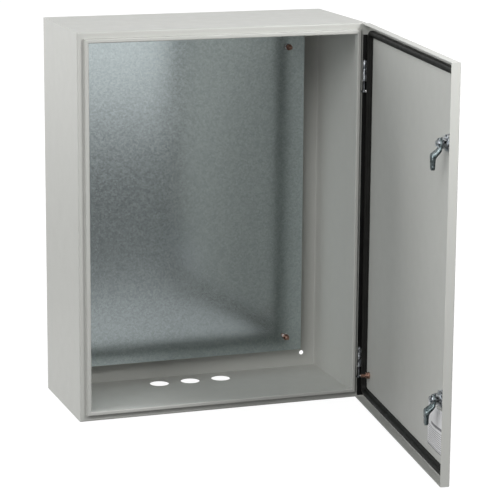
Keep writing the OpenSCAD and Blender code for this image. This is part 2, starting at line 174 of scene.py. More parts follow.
class ShaderGraph(Graph):
    """A material under construction."""

    def __init__(self, name: str) -> None:
        """Starts a node material.

        Args:
            name: Name of the material.
        """
        self.material = bpy.data.materials.new(name)
        self.material.use_nodes = True
        super().__init__(self.material.node_tree)
        self.surface = self.tree.nodes["Principled BSDF"]
        self.coords = self.add("ShaderNodeTexCoord").outputs["Object"]

    def noise(self, scale: float, detail: float = 3.0, roughness: float = 0.5) -> Socket:
        """Adds a noise pattern on Object coordinates.

        Args:
            scale: Waves per metre.
            detail: Number of finer layers.
            roughness: Share of the finer layers.

        Returns:
            Its value from 0 to 1.
        """
        inputs = {"Vector": self.coords, "Scale": scale, "Detail": detail, "Roughness": roughness}
        return self.add("ShaderNodeTexNoise", inputs).outputs["Fac"]

    def cells(self, place: Socket, scale: float) -> Sequence[Socket]:
        """Adds a pattern of crystals.

        Args:
            place: Coordinates of the pattern.
            scale: Crystals per metre.

        Returns:
            Three values that differ at random from crystal to crystal.
        """
        pattern = self.add("ShaderNodeTexVoronoi", {"Vector": place, "Scale": scale})
        return self.add("ShaderNodeSeparateColor", {0: pattern.outputs["Color"]}).outputs

    def blend(self, factor: Any, dark: Triple | Socket, light: Triple | Socket) -> Socket:
        """Mixes two colours by a factor.

        Args:
            factor: Value or socket from 0 to 1.
            dark: First colour, as RGB or a socket.
            light: Second colour, as RGB or a socket.

        Returns:
            The mixed colour.
        """
        node = self.add("ShaderNodeMix", data_type="RGBA")
        self.feed(node, 0, factor)
        for slot, colour in zip(MIX_COLOURS, (dark, light)):
            self.feed(node, slot, colour if isinstance(colour, Socket) else (*colour, 1.0))
        return node.outputs[2]

    def bump(self, height: Socket, depth: float, strength: float) -> None:
        """Presses a height pattern into the surface.

        Args:
            height: Pattern from 0 to 1.
            depth: Height of the pattern in metres.
            strength: Share of the effect.
        """
        node = self.add("ShaderNodeBump", {"Height": height, "Distance": depth, "Strength": strength})
        self.tree.links.new(node.outputs["Normal"], self.surface.inputs["Normal"])

    def finish(self, **inputs: Any) -> bpy.types.Material:
        """Ends the material.

        Args:
            inputs: The surface's own inputs, by their names with underscores.

        Returns:
            The material.
        """
        for key, value in inputs.items():
            self.feed(self.surface, key.replace("_", " "), value)
        return self.material


# ---------------------------------------------------------------- finishes

# In every finish, scales are in waves per metre and depths in metres. A window is the part of a
# pattern's values that is spread from dark to light.


@dataclass(frozen=True)
class PowderCoat:
    """Light grey powder coat with a fine orange peel."""

    name: str = "powder_coat"
    colour: Triple = (0.585, 0.590, 0.560)
    shade: Triple = (0.574, 0.579, 0.549)
    speck: Triple = (0.5, 0.505, 0.48)
    roughness: float = 0.42
    cloud_scale: float = 5.0
    gloss_scale: float = 40.0
    peel_scale: float = 650.0
    grain_scale: float = 2400.0
    speck_scale: float = 2600.0
    grain_share: float = 0.35
    speck_share: float = 0.12
    cloud_window: Pair = (0.35, 0.65)
    speck_window: Pair = (0.45, 0.75)
    gloss_window: Pair = (0.3, 0.7)
    gloss_range: Pair = (0.04, 0.06)
    depth: float = 0.00006
    strength: float = 0.55

    def build(self) -> bpy.types.Material:
        """Returns the material: slow cloudiness in the colour, orange peel and specks in the film."""
        graph = ShaderGraph(self.name)
        cloud = graph.spread(graph.noise(self.cloud_scale, 2.0), 0.0, 1.0, *self.cloud_window)
        specks = graph.spread(graph.noise(self.speck_scale, 1.0), 0.0, self.speck_share, *self.speck_window)
        colour = graph.blend(cloud, self.shade, self.colour)
        peel = graph.noise(self.peel_scale, 2.0, 0.55)
        grain = graph.noise(self.grain_scale, 2.0, 0.6)
        height = graph.maths("ADD", peel, graph.maths("MULTIPLY", grain, self.grain_share))
        graph.bump(height, self.depth, self.strength)
        less, more = self.gloss_range
        gloss = graph.spread(graph.noise(self.gloss_scale), self.roughness - less, self.roughness + more,
                             *self.gloss_window)
        return graph.finish(Base_Color=graph.blend(specks, self.speck, colour), Roughness=gloss)


@dataclass(frozen=True)
class GalvanisedSheet:
    """Hot-dipped zinc with a small spangle."""

    name: str = "galvanised_sheet"
    dull: Triple = (0.405, 0.457, 0.467)
    bright: Triple = (0.575, 0.64, 0.65)
    roughness: Pair = (0.115, 0.18)
    grain: float = 330.0
    frost: float = 2.7
    warp_scale: float = 90.0
    warp: float = 0.006
    ridge_scale: float = 900.0
    grain_share: float = 0.6
    frost_share: float = 0.4
    tilt_share: float = 0.5
    depth: float = 0.00008
    strength: float = 0.35

    def build(self) -> bpy.types.Material:
        """Returns the material: feathered crystals that differ in tone, gloss and tilt."""
        graph = ShaderGraph(self.name)
        warp = graph.add("ShaderNodeTexNoise",
                         {"Vector": graph.coords, "Scale": self.warp_scale, "Detail": 4.0})
        wander = graph.add("ShaderNodeVectorMath", {0: warp.outputs["Color"], "Scale": self.warp},
                           operation="SCALE")
        place = graph.add("ShaderNodeVectorMath", {0: graph.coords, 1: wander.outputs[0]},
                          operation="ADD").outputs[0]
        crystals = graph.cells(place, self.grain)
        frost = graph.cells(place, self.grain * self.frost)
        mix = graph.maths("ADD", graph.maths("MULTIPLY", crystals[0], self.grain_share),
                          graph.maths("MULTIPLY", frost[1], self.frost_share))
        ridge = graph.maths("ADD", graph.maths("MULTIPLY", crystals[2], self.tilt_share),
                            graph.noise(self.ridge_scale, 2.0))
        graph.bump(ridge, self.depth, self.strength)
        return graph.finish(Base_Color=graph.blend(mix, self.dull, self.bright), Metallic=1.0,
                            Roughness=graph.spread(mix, *self.roughness))


@dataclass(frozen=True)
class Plating:
    """Bright plated metal with drawn marks and a random mottle that mixes in painted dark reflections."""

    name: str = "zinc_plating"
    colour: Triple = (0.66, 0.69, 0.72)
    # Painted dark reflection of dark surroundings, mixed into the colour at random by the mottle
    painted_dark_reflection: Triple = (0.08, 0.09, 0.10)
    roughness: float = 0.24
    roughness_range: float = 0.16
    mottle_scale: float = 260.0
    scratch_scale: float = 700.0
    draw: Triple = (1.0, 1.0, 9.0)
    mottle_window: Pair = (0.38, 0.60)
    depth: float = 0.00004
    strength: float = 0.3

    def build(self) -> bpy.types.Material:
        """Returns the material: a mottle of plain tone and painted dark reflection, fine scratches and uneven
        gloss.
        """
        graph = ShaderGraph(self.name)
        mottle = graph.spread(graph.noise(self.mottle_scale, 4.0), 0.0, 1.0, *self.mottle_window)
        drawn = graph.add("ShaderNodeMapping", {"Vector": graph.coords, "Scale": self.draw}).outputs[0]
        scratch = graph.add("ShaderNodeTexNoise",
                            {"Vector": drawn, "Scale": self.scratch_scale, "Detail": 3.0})
        graph.bump(scratch.outputs["Fac"], self.depth, self.strength)
        gloss = graph.spread(mottle, self.roughness, self.roughness + self.roughness_range)
        # The mottle blends the plain colour with the painted dark reflection
        return graph.finish(Base_Color=graph.blend(mottle, self.painted_dark_reflection, self.colour), Metallic=1.0,
                            Roughness=gloss)


@dataclass(frozen=True)
class Foam:
    """Black foamed or extruded rubber with a skin that shines a little."""

    name: str = "foam_seal"
    colour: Triple = (0.009, 0.009, 0.008)
    worn: Triple = (0.015, 0.015, 0.014)
    roughness: float = 0.38
    shine: float = 0.1
    roughness_range: float = 0.2
    dust_scale: float = 60.0
    pit_scale: float = 900.0
    wave_scale: float = 120.0
    dust_window: Pair = (0.35, 0.75)
    depth: float = 0.00015
    strength: float = 0.4

    def build(self) -> bpy.types.Material:
        """Returns the material: a skin with small pits, slow waves and dusty patches."""
        graph = ShaderGraph(self.name)
        dust = graph.spread(graph.noise(self.dust_scale, 5.0), 0.0, 1.0, *self.dust_window)
        pits = graph.add("ShaderNodeTexVoronoi", {"Vector": graph.coords, "Scale": self.pit_scale})
        height = graph.maths("ADD", pits.outputs["Distance"], graph.noise(self.wave_scale))
        graph.bump(height, self.depth, self.strength)
        gloss = graph.spread(dust, self.roughness, self.roughness + self.roughness_range)
        return graph.finish(Base_Color=graph.blend(dust, self.colour, self.worn), Roughness=gloss,
                            Specular_IOR_Level=self.shine)


@dataclass(frozen=True)
class RuledPaper:
    """White paper with blank ruled lines and a dark heading bar, on its own UV map.

    Places and sizes of the printing are shares of the sheet's width or height.
    """

    name: str = "ruled_paper"
    paper: Triple = (0.74, 0.74, 0.75)
    fibre: Triple = (0.6, 0.6, 0.62)
    ink: Triple = (0.16, 0.16, 0.17)
    rows: float = 20.0
    rule_share: float = 0.32
    rules_top: float = 0.50
    margins: Pair = (0.06, 0.94)
    bar_middle: float = 0.565
    bar_half: float = 0.030
    bar_end: float = 0.72
    rule_strength: float = 0.75
    bar_strength: float = 0.95
    fibre_scale: float = 1800.0
    fibre_share: float = 0.10
    fibre_window: Pair = (0.3, 0.7)
    tooth_scale: float = 1500.0
    roughness: float = 0.62
    depth: float = 0.00003
    strength: float = 0.3

    def build(self) -> bpy.types.Material:
        """Returns the material: rules across the lower half, one bar above them, fibres in the sheet."""
        graph = ShaderGraph(self.name)
        uv = graph.add("ShaderNodeSeparateXYZ", {0: graph.add("ShaderNodeUVMap", uv_map="sheet").outputs[0]})
        across, up = uv.outputs[0], uv.outputs[1]
        row = graph.maths("FRACT", graph.maths("MULTIPLY", up, self.rows))
        rule = graph.maths("LESS_THAN", row, self.rule_share)
        below = graph.maths("LESS_THAN", up, self.rules_top)
        inside = graph.maths("MULTIPLY", graph.maths("GREATER_THAN", across, self.margins[0]),
                             graph.maths("LESS_THAN", across, self.margins[1]))
        rules = graph.maths("MULTIPLY", graph.maths("MULTIPLY", rule, below), inside)
        bar = graph.maths("MULTIPLY", graph.maths("COMPARE", up, self.bar_middle, self.bar_half),
                          graph.maths("LESS_THAN", across, self.bar_end))
        print_strength = graph.maths("MAXIMUM", graph.maths("MULTIPLY", rules, self.rule_strength),
                                     graph.maths("MULTIPLY", bar, self.bar_strength))
        fibres = graph.spread(graph.noise(self.fibre_scale, 4.0), 0.0, self.fibre_share, *self.fibre_window)
        sheet = graph.blend(fibres, self.paper, self.fibre)
        graph.bump(graph.noise(self.tooth_scale), self.depth, self.strength)
        return graph.finish(Base_Color=graph.blend(print_strength, sheet, self.ink), Roughness=self.roughness)


# The second colour of each plating is its painted dark reflection
OILED_STEEL = Plating("oiled_steel", (0.20, 0.21, 0.22), (0.07, 0.07, 0.08), 0.30)
CAM_STEEL = Plating("cam_steel", (0.24, 0.285, 0.295), (0.085, 0.11, 0.115), 0.25)
COPPER = Plating("copper_plating", (0.38, 0.235, 0.18), (0.16, 0.095, 0.075), 0.30)
RUBBER = Foam("rubber_strip", (0.006, 0.006, 0.006), (0.011, 0.011, 0.010), 0.5, 0.06)


@dataclass
class Finishes:
    """Every finish of the enclosure, built once."""

    paint: bpy.types.Material = field(default_factory=PowderCoat().build)
    galvanised: bpy.types.Material = field(default_factory=GalvanisedSheet().build)
    zinc: bpy.types.Material = field(default_factory=Plating().build)
    dark_steel: bpy.types.Material = field(default_factory=OILED_STEEL.build)
    steel: bpy.types.Material = field(default_factory=CAM_STEEL.build)
    copper: bpy.types.Material = field(default_factory=COPPER.build)
    seal: bpy.types.Material = field(default_factory=Foam().build)
    strip: bpy.types.Material = field(default_factory=RUBBER.build)
    paper: bpy.types.Material = field(default_factory=RuledPaper().build)


# ---------------------------------------------------------------- meshes


def round_edges(piece: bpy.types.Object, width: float, segments: int) -> None:
    """Joins a CAD piece's triangles and rounds its sharp edges, by modifiers.

    Args:
        piece: Object with the CAD mesh.
        width: Width of the rounded edges in millimetres, 0 for none.
        segments: Number of faces across a rounded edge.
    """
    piece.modifiers.new("join", "WELD").merge_threshold = WELD_GAP
    if width:
        bevel = piece.modifiers.new("edge", "BEVEL")
        bevel.width, bevel.segments = width * MM, segments
        bevel.limit_method, bevel.angle_limit = "ANGLE", ROUND_ANGLE


def dress(node: str, material: bpy.types.Material, edge: float = 0.0) -> None:
    """Gives a CAD node its finish, joins its triangles for shading and rounds its sharp edges.

    Args:
        node: Name of the CAD node.
        material: Finish of the node.
        edge: Width of the rounded edges in millimetres, 0 for none.
    """
    piece = frame["nodes"][node]
    piece.data.materials.clear()
    piece.data.materials.append(material)
    piece.data.shade_smooth()
    round_edges(piece, edge, 2)
    piece.modifiers.new("creases", "EDGE_SPLIT").split_angle = CREASE_ANGLE
    piece.modifiers.new("even_light", "WEIGHTED_NORMAL").keep_sharp = True
    LOG.info("%s wears %s", node, material.name)


def place_piece(name: str, mesh: bpy.types.Mesh, body: Body) -> bpy.types.Object:
    """Puts a finished mesh in the scene, at the origin, and lets a body carry it.

    Args:
        name: Name of the piece.
        mesh: Its mesh.
        body: Body that carries the piece.

    Returns:
        The new object.
    """
    mesh.name = name
    piece = bpy.data.objects.new(name, mesh)
    bpy.context.scene.collection.objects.link(piece)
    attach(piece, body.value)
    LOG.info("made %s on %s", name, body.value)
    return piece


def make_piece(name: str, points: Sequence[Sequence[float]], faces: Sequence[Sequence[int]],
               material: bpy.types.Material, body: Body, place: Matrix) -> bpy.types.Object:
    """Makes a smooth mesh piece that rides on a body.

    Args:
        name: Name of the piece.
        points: Corners in metres.
        faces: Indices of each face's corners.
        material: Finish of the piece.
        body: Body that carries the piece.
        place: Transform baked into the points.

    Returns:
        The new object, at the origin.
    """
    mesh = bpy.data.meshes.new(name)
    mesh.from_pydata(points, [], faces)
    mesh.transform(place)
    mesh.validate()
    mesh.materials.append(material)
    mesh.shade_smooth()
    return place_piece(name, mesh, body)


def bake_mesh(maker: bpy.types.Object) -> bpy.types.Mesh:
    """Turns an object and its modifiers into a plain mesh, and removes the object.

    Args:
        maker: Object with modifiers.

    Returns:
        The evaluated mesh.
    """
    view = bpy.context.evaluated_depsgraph_get()
    mesh = bpy.data.meshes.new_from_object(maker.evaluated_get(view))
    bpy.data.objects.remove(maker)
    return mesh


def smooth_step(value: float) -> float:
    """Returns a smooth 0 to 1 rise of a value that runs from 0 to 1."""
    value = min(max(value, 0.0), 1.0)
    return value * value * (3.0 - 2.0 * value)


def soften(name: str, node: str, material: bpy.types.Material, body: Body, edge: float) -> None:
    """Makes a rounded, slightly wavy rubber piece in place of a plain soft solid.

    Args:
        name: Name of the piece.
        node: CAD node that the piece stands for.
        material: Finish of the piece.
        body: Body that carries the piece.
        edge: Radius of its edges in millimetres.
    """
    maker = bpy.data.objects.new(name + "_maker", frame["nodes"][node].data.copy())
    bpy.context.scene.collection.objects.link(maker)
    round_edges(maker, edge, 4)
    mesh = bake_mesh(maker)
    short, long = RUBBER_WAVES
    for corner in mesh.vertices:
        sag = RUBBER_EASE * (math.sin(corner.co.z * short) + math.sin(corner.co.z * long + 1.0))
        corner.co -= corner.normal * (RUBBER_EASE + 0.5 * abs(sag))
    mesh.materials.clear()
    mesh.materials.append(material)
    mesh.shade_smooth()
    piece = place_piece(name, mesh, body)
    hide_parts(node)


class GeometryTree(Graph):
    """A Geometry Nodes tree under construction that makes a repeated form."""

    def __init__(self, name: str, **sizes: float) -> None:
        """Starts the tree.

        Args:
            name: Name of the tree.
            sizes: Named inputs with their values.
        """
        super().__init__(bpy.data.node_groups.new(name, "GeometryNodeTree"))
        face = self.tree.interface
        face.new_socket("Geometry", in_out="INPUT", socket_type="NodeSocketGeometry")
        self.sizes = []
        for key, value in sizes.items():
            socket = face.new_socket(key, in_out="INPUT", socket_type="NodeSocketFloat")
            self.sizes.append((socket.identifier, value))
        face.new_socket("Geometry", in_out="OUTPUT", socket_type="NodeSocketGeometry")
        self.inputs = self.add("NodeGroupInput").outputs

    def bake(self, name: str, result: Socket, points: Sequence[Sequence[float]],
             material: bpy.types.Material, body: Body, place: Matrix) -> bpy.types.Object:
        """Ends the tree and turns its result into a plain mesh piece.

        Args:
            name: Name of the piece.
            result: Geometry that the tree has made.
            points: Points that the tree starts from.
            material: Finish of the piece.
            body: Body that carries the piece.
            place: Transform baked into the mesh.

        Returns:
            The new object, at the origin, with no modifier.
        """
        solid = self.add("GeometryNodeRealizeInstances", {0: result}).outputs[0]
        coated = self.add("GeometryNodeSetMaterial", {"Geometry": solid, "Material": material}).outputs[0]
        self.add("NodeGroupOutput", {0: coated})
        start = bpy.data.meshes.new(name + "_start")
        start.from_pydata(points, [], [])
        maker = bpy.data.objects.new(name + "_maker", start)
        bpy.context.scene.collection.objects.link(maker)
        modifier = maker.modifiers.new("form", "NODES")
        modifier.node_group = self.tree
        for identifier, value in self.sizes:
            modifier[identifier] = value
        mesh = bake_mesh(maker)
        mesh.transform(place)
        return place_piece(name, mesh, body)


@dataclass
class DoorPlace:
    """Where the open door stands, and places on it measured with the door shut."""

    matrix: Matrix = field(init=False)

    def __post_init__(self) -> None:
        """Reads the hinge from the frame's joints."""
        joint = next(j for j in frame["joints"] if j["name"] == "door_hinge")
        hinge = Vector(joint["pos_m"])
        turn = Matrix.Rotation(-math.radians(joint["range_deg"][0]), 4, "Z")
        self.matrix = Matrix.Translation(hinge) @ turn @ Matrix.Translation(-hinge)

    def corners(self, node: str) -> list[Vector]:
        """Returns the corners of a door node, measured with the door shut."""
        back = self.matrix.inverted()
        return [back @ v.co for v in frame["nodes"][node].data.vertices]

    def box(self, node: str) -> tuple[Vector, Vector]:
        """Returns the lowest and highest corner of a door node, measured with the door shut."""
        points = self.corners(node)
        low = Vector([min(p[k] for p in points) for k in range(3)])
        high = Vector([max(p[k] for p in points) for k in range(3)])
        return low, high


# ---------------------------------------------------------------- sub-assemblies


@dataclass
class Cabinet:
    """The folded sheet body that hangs on the wall."""

    finishes: Finishes

    def build(self) -> None:
        """Dresses the body's sheets."""
        for node in ("body_wrap", "top_cap", "bottom_cap"):
            dress(node, self.finishes.paint)


@dataclass
class ThreadedStuds:
    """Threaded studs of one thread size, in millimetres."""

    diameter: float = 6.0
    pitch: float = 1.0
    crest: float = 0.45
    sides: int = 32
    turn_steps: int = 28

    def build(self, name: str, node: str, feet: Sequence[Sequence[float]], length: float,
              material: bpy.types.Material, body: Body, place: Matrix) -> None:
        """Makes a row of studs that stand along +Z at their feet, before place is applied.

        Args:
            name: Name of the piece.
            node: CAD node that the studs stand for.
            feet: Feet of the studs in metres.
            length: Length of a stud in metres.
            material: Finish of the studs.
            body: Body that carries them.
            place: Transform of the whole row.
        """
        grow = GeometryTree("thread_form", Radius=self.diameter * MM / 2, Depth=self.crest * self.pitch * MM,
                            Length=length, Turns=length / (self.pitch * MM))
        tall = grow.inputs["Length"]
        root = grow.maths("SUBTRACT", grow.inputs["Radius"], grow.inputs["Depth"])
        core = grow.add("GeometryNodeMeshCylinder", {"Vertices": self.sides, "Radius": root, "Depth": tall})
        lift = grow.add("ShaderNodeCombineXYZ", {"Z": grow.maths("MULTIPLY", tall, 0.5)})
        raised = grow.add("GeometryNodeTransform",
                          {"Geometry": core.outputs["Mesh"], "Translation": lift.outputs[0]})
        coil = grow.add("GeometryNodeCurveSpiral", {
            "Resolution": self.turn_steps, "Rotations": grow.inputs["Turns"],
            "Start Radius": root, "End Radius": root, "Height": tall})
        crest = grow.add("GeometryNodeCurvePrimitiveCircle",
                         {"Resolution": 4, "Radius": grow.inputs["Depth"]})
        ridge = grow.add("GeometryNodeCurveToMesh",
                         {"Curve": coil.outputs[0], "Profile Curve": crest.outputs[0]})
        joined = grow.add("GeometryNodeJoinGeometry")
        for part in (raised, ridge):
            grow.feed(joined, 0, part.outputs[0])
        rows = grow.add("GeometryNodeInstanceOnPoints",
                        {"Points": grow.inputs["Geometry"], "Instance": joined.outputs[0]})
        piece = grow.bake(name, rows.outputs[0], feet, material, body, place)
        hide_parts(node)


@dataclass
class PlateAssembly:
    """The galvanised mounting plate on its four studs."""

    finishes: Finishes
    studs: ThreadedStuds = field(default_factory=ThreadedStuds)

    def build(self) -> None:
        """Dresses the plate and its fasteners."""
        dress("mounting_plate", self.finishes.galvanised)
        dress("plate_spacers", self.finishes.zinc)
        dress("plate_washers", self.finishes.zinc, WASHER_EDGE)
        dress("plate_nuts", self.finishes.copper, NUT_EDGE)
        low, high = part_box("plate_studs")
        radius = self.studs.diameter * MM / 2
        sides, ends = (low.x + radius, high.x - radius), (low.z + radius, high.z - radius)
        feet = [(x, z, 0.0) for x in sides for z in ends]
        place = Matrix.Translation((0.0, high.y, 0.0)) @ Matrix.Rotation(math.radians(90), 4, "X")
        self.studs.build("threaded_plate_studs", "plate_studs", feet, high.y - low.y,
                         self.finishes.copper, Body.CABINET, place)


@dataclass
class Hinges:
    """Two concealed pin hinges, with the widths of their rounded edges in millimetres."""

    finishes: Finishes
    tab_edge: float = 0.15
    ring_edge: float = 0.2
    barrel_edge: float = 0.3

    def build(self) -> None:
        """Dresses both hinges."""
        for end in ("upper", "lower"):
            dress(f"hinge_tab_{end}", self.finishes.dark_steel, self.tab_edge)
            dress(f"hinge_pin_{end}", self.finishes.dark_steel)
            dress(f"hinge_ring_{end}", self.finishes.zinc, self.ring_edge)
            dress(f"hinge_barrel_{end}", self.finishes.zinc, self.barrel_edge)


@dataclass
class DoorSeal:
    """The foamed seal in the door pan: a ridge with a thin foot inside it, in millimetres.

    The foot's outline is given as steps inwards from the ridge and up from the foot's height.
    """

    finishes: Finishes
    place: DoorPlace
    corner: float = 17.5
    corner_steps: int = 10
    ridge: float = 8.0
    ridge_height: float = 7.8
    crown: float = 0.15
    shoulder: float = 2.6
    shoulder_steps: int = 6
    foot: float = 4.5
    foot_height: float = 2.0
    foot_outline: tuple[Pair, ...] = ((0.2, 0.6), (1.0, 0.0), (3.6, -0.3), (4.4, -1.0))

    def section(self) -> list[Pair]:
        """Returns the seal's section: how far in from its outer side, and how high."""
        width, top, arc = self.ridge, self.ridge_height, self.shoulder
        turns = [math.radians(90 * k / self.shoulder_steps) for k in range(1, self.shoulder_steps)]
        points = [(0.0, 0.0), (0.0, top - arc)]
        points += [(arc - arc * math.cos(turn), top - arc + arc * math.sin(turn)) for turn in turns]
        points += [(arc, top), (width / 2, top + self.crown), (width - arc, top)]
        points += [(width - arc + arc * math.sin(turn), top - arc + arc * math.cos(turn)) for turn in turns]
        points.append((width, top - arc))
        points += [(width + inwards, self.foot_height + up) for inwards, up in self.foot_outline]
        points.append((width + self.foot, 0.0))
        return points

    def build(self) -> None:
        """Sweeps the seal round the pan, with rounded corners, in place of the plain solid."""
        low, high = self.place.box("door_gasket")
        section = self.section()
        radius = self.corner * MM
        left, right, bottom, top = low.x + radius, high.x - radius, low.z + radius, high.z - radius
        points = []
        for x, z, start in ((right, top, 0), (left, top, 90), (left, bottom, 180), (right, bottom, 270)):
            for k in range(self.corner_steps + 1):
                turn = math.radians(start + 90 * k / self.corner_steps)
                across, up = math.cos(turn), math.sin(turn)
                for inwards, height in section:
                    reach = radius - inwards * MM
                    points.append((x + across * reach, low.y + height * MM, z + up * reach))
        count = len(section)
        rings = len(points) // count
        faces = []
        for i in range(rings):
            for j in range(count):
                k, m = (i + 1) % rings, (j + 1) % count
                faces.append((i * count + j, i * count + m, k * count + m, k * count + j))
        piece = make_piece("foamed_seal", points, faces, self.finishes.seal, Body.DOOR, self.place.matrix)
        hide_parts("door_gasket")


@dataclass
class DocumentSheet:
    """The paper sheet under the lower lock, which bulges a little, in millimetres."""

    finishes: Finishes
    place: DoorPlace
    from_side: float = 35.0
    from_bottom: float = 36.0
    width: float = 80.0
    height: float = 70.0
    gap: float = 0.15
    thickness: float = 0.25
    rise: float = 2.2
    # Share of the rise at the sheet's lower edge, and how far up the sheet one arch reaches
    low_share: float = 0.25
    arch: float = 0.9
    columns: int = 24
    rows: int = 20

    def bulge(self, across: float, up: float) -> float:
        """Returns how far the sheet stands off the door at a place given in shares of its sides."""
        crest = self.low_share + (1.0 - self.low_share) * math.sin(math.pi * (up * self.arch))
        return self.rise * math.sin(math.pi * across) ** 2 * crest

    def build(self) -> None:
        """Makes the sheet: a bulged front face, a flat back face and the edge between them."""
        low = self.place.box("door_panel")[0]
        seat = self.place.box("door_gasket")[0].y
        left, bottom = low.x + self.from_side * MM, low.z + self.from_bottom * MM
        width, height = self.width * MM, self.height * MM
        columns, rows = self.columns, self.rows
        points, uvs = [], []
        for side in (1, 0):
            for i in range(columns + 1):
                for j in range(rows + 1):
                    u, v = i / columns, j / rows
                    off = self.gap + self.bulge(u, v) * side + self.thickness * side
                    points.append((left + width * u, seat + off * MM, bottom + height * v))
                    uvs.append((u, v))
        step, per_side = rows + 1, (columns + 1) * (rows + 1)
        faces = []
        for side in (0, 1):
            for i in range(columns):
                for j in range(rows):
                    a = side * per_side + i * step + j
                    quad = (a, a + 1, a + step + 1, a + step)
                    faces.append(quad if side == 0 else quad[::-1])
        rim = [i * step for i in range(columns + 1)]
        rim += [columns * step + j for j in range(1, rows + 1)]
        rim += [i * step + rows for i in range(columns - 1, -1, -1)]
        rim += list(range(rows - 1, 0, -1))
        for a, b in zip(rim, rim[1:] + rim[:1]):
            faces.append((a, b, b + per_side, a + per_side))
        piece = make_piece("document_sheet", points, faces, self.finishes.paper, Body.DOOR, self.place.matrix)
        layer = piece.data.uv_layers.new(name="sheet")
        for loop in piece.data.loops:
            layer.data[loop.index].uv = uvs[loop.vertex_index]


@dataclass
class Door:
    """The door pan with its seal, strip, earth stud and document sheet."""

    finishes: Finishes
    place: DoorPlace
    # Radius of the rubber strip's edges in millimetres
    strip_edge: float = 0.12

    def build(self) -> None:
        """Dresses the pan and makes the pieces that ride on it."""
        dress("door_panel", self.finishes.paint)
        dress("door_earth_washer", self.finishes.copper, WASHER_EDGE)
        dress("door_earth_nut", self.finishes.copper, NUT_EDGE)
        DoorSeal(self.finishes, self.place).build()
        soften("rubber_strip", "hinge_side_strip", self.finishes.strip, Body.DOOR, self.strip_edge)
        self.earth_stud()
        DocumentSheet(self.finishes, self.place).build()

    def earth_stud(self) -> None:
        """Makes the threaded earth stud."""
        low, high = self.place.box("door_earth_stud")
        middle = (low + high) / 2
        upright = Matrix.Translation((middle.x, low.y, middle.z)) @ Matrix.Rotation(math.radians(-90), 4, "X")
        ThreadedStuds().build("threaded_earth_stud", "door_earth_stud", [(0.0, 0.0, 0.0)], high.y - low.y,
                              self.finishes.copper, Body.DOOR, self.place.matrix @ upright)


@dataclass
class Cam:
    """A cranked cam, cast in one smooth sweep from its round hub to its thicker blade, in millimetres.

    Each bend is given by the distance below the lock's axis where it starts, and its length.
    """

    finishes: Finishes
    place: DoorPlace
    stations: int = 44
    blade_thickness: float = 5.0
    blade_half_width: float = 8.8
    tip_half_width: float = 6.2
    shoulder: float = 18.0
    near_bend: Pair = (9.0, 15.0)
    far_bend: Pair = (6.5, 13.0)
    thickening: Pair = (8.5, 10.0)
    chamfer: float = 0.9
    # Square of the least half width, where the sweep starts and ends
    least_square: float = 0.36
    # Height of the flat end that the blade's place is read from
    tip_zone: float = 8.0

    def half_width(self, along: float, hub: float, length: float) -> float:
        """Finds half the cam's width at a distance below the lock's axis.

        Args:
            along: The distance below the axis.
            hub: Radius of the hub.
            length: Distance from the axis to the tip.

        Returns:
            Half the width there.
        """
        tip, blade = self.tip_half_width, self.blade_half_width
        if along < 0.0:
            return math.sqrt(max(hub * hub - along * along, self.least_square))
        if along > length - tip:
            return math.sqrt(max(tip * tip - (along - length + tip) ** 2, self.least_square))
        if along < self.shoulder:
            return hub + (blade - hub) * smooth_step(along / self.shoulder)
        return blade + (tip - blade) * smooth_step((along - self.shoulder) / (length - tip - self.shoulder))

    def build(self, end: str, body: Body) -> None:
        """Makes one cam.

        Args:
            end: Which lock it belongs to, upper or lower.
            body: Body that carries it.
        """
        node = f"lock_cam_{end}"
        low, high = self.place.box(node)
        radius = (high.x - low.x) / 2
        centre = Vector(((low.x + high.x) / 2, low.y, high.z - radius))
        tip = [p.y for p in self.place.corners(node) if p.z < low.z + self.tip_zone * MM]
        hub, length = radius / MM, (centre.z - low.z) / MM
        rise, plate = (min(tip) - low.y) / MM, (max(tip) - min(tip)) / MM
        points = []
        for index in range(self.stations + 1):
            along = -hub + (hub + length) * (0.5 - 0.5 * math.cos(math.pi * index / self.stations))
            near_turn, far_turn, growth = (smooth_step((along - start) / span) for start, span in
                                           (self.near_bend, self.far_bend, self.thickening))
            near = rise * near_turn
            far = rise * far_turn + plate + (self.blade_thickness - plate) * growth
            wide = self.half_width(along, hub, length)
            cut = min(self.chamfer, wide * 0.5)
            ring = ((-wide + cut, near), (wide - cut, near), (wide, near + cut), (wide, far - cut),
                    (wide - cut, far), (-wide + cut, far), (-wide, far - cut), (-wide, near + cut))
            points += [(centre.x + across * MM, centre.y + up * MM, centre.z - along * MM)
                       for across, up in ring]
        sides = len(ring)
        faces = [tuple(range(sides)), tuple(range(len(points) - 1, len(points) - 1 - sides, -1))]
        for index in range(self.stations):
            first, second = index * sides, (index + 1) * sides
            for j in range(sides):
                k = (j + 1) % sides
                faces.append((first + k, first + j, second + j, second + k))
        piece = make_piece(f"cast_cam_{end}", points, faces, self.finishes.steel, body, self.place.matrix)
        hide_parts(node)


@dataclass
class Locks:
    """Two quarter-turn cam locks."""

    finishes: Finishes
    place: DoorPlace
    # Width of each part's rounded edges in millimetres
    edges: tuple[tuple[str, float], ...] = (
        ("lock_housing", 0.3), ("lock_washer", 0.1), ("lock_nut", 0.5), ("lock_core", 0.2),
        ("cam_washer", 0.2), ("cam_screw", 0.4))
    seal_edge: float = 0.3

    def build(self) -> None:
        """Dresses both locks and makes their rubber washers and cams."""
        for end in ("upper", "lower"):
            soften(f"rubber_washer_{end}", f"lock_seal_{end}", self.finishes.strip, Body.DOOR, self.seal_edge)
        for end, body in (("upper", Body.UPPER_LOCK), ("lower", Body.LOWER_LOCK)):
            for part, edge in self.edges:
                dress(f"{part}_{end}", self.finishes.zinc, edge)
            Cam(self.finishes, self.place).build(end, body)


# ---------------------------------------------------------------- studio


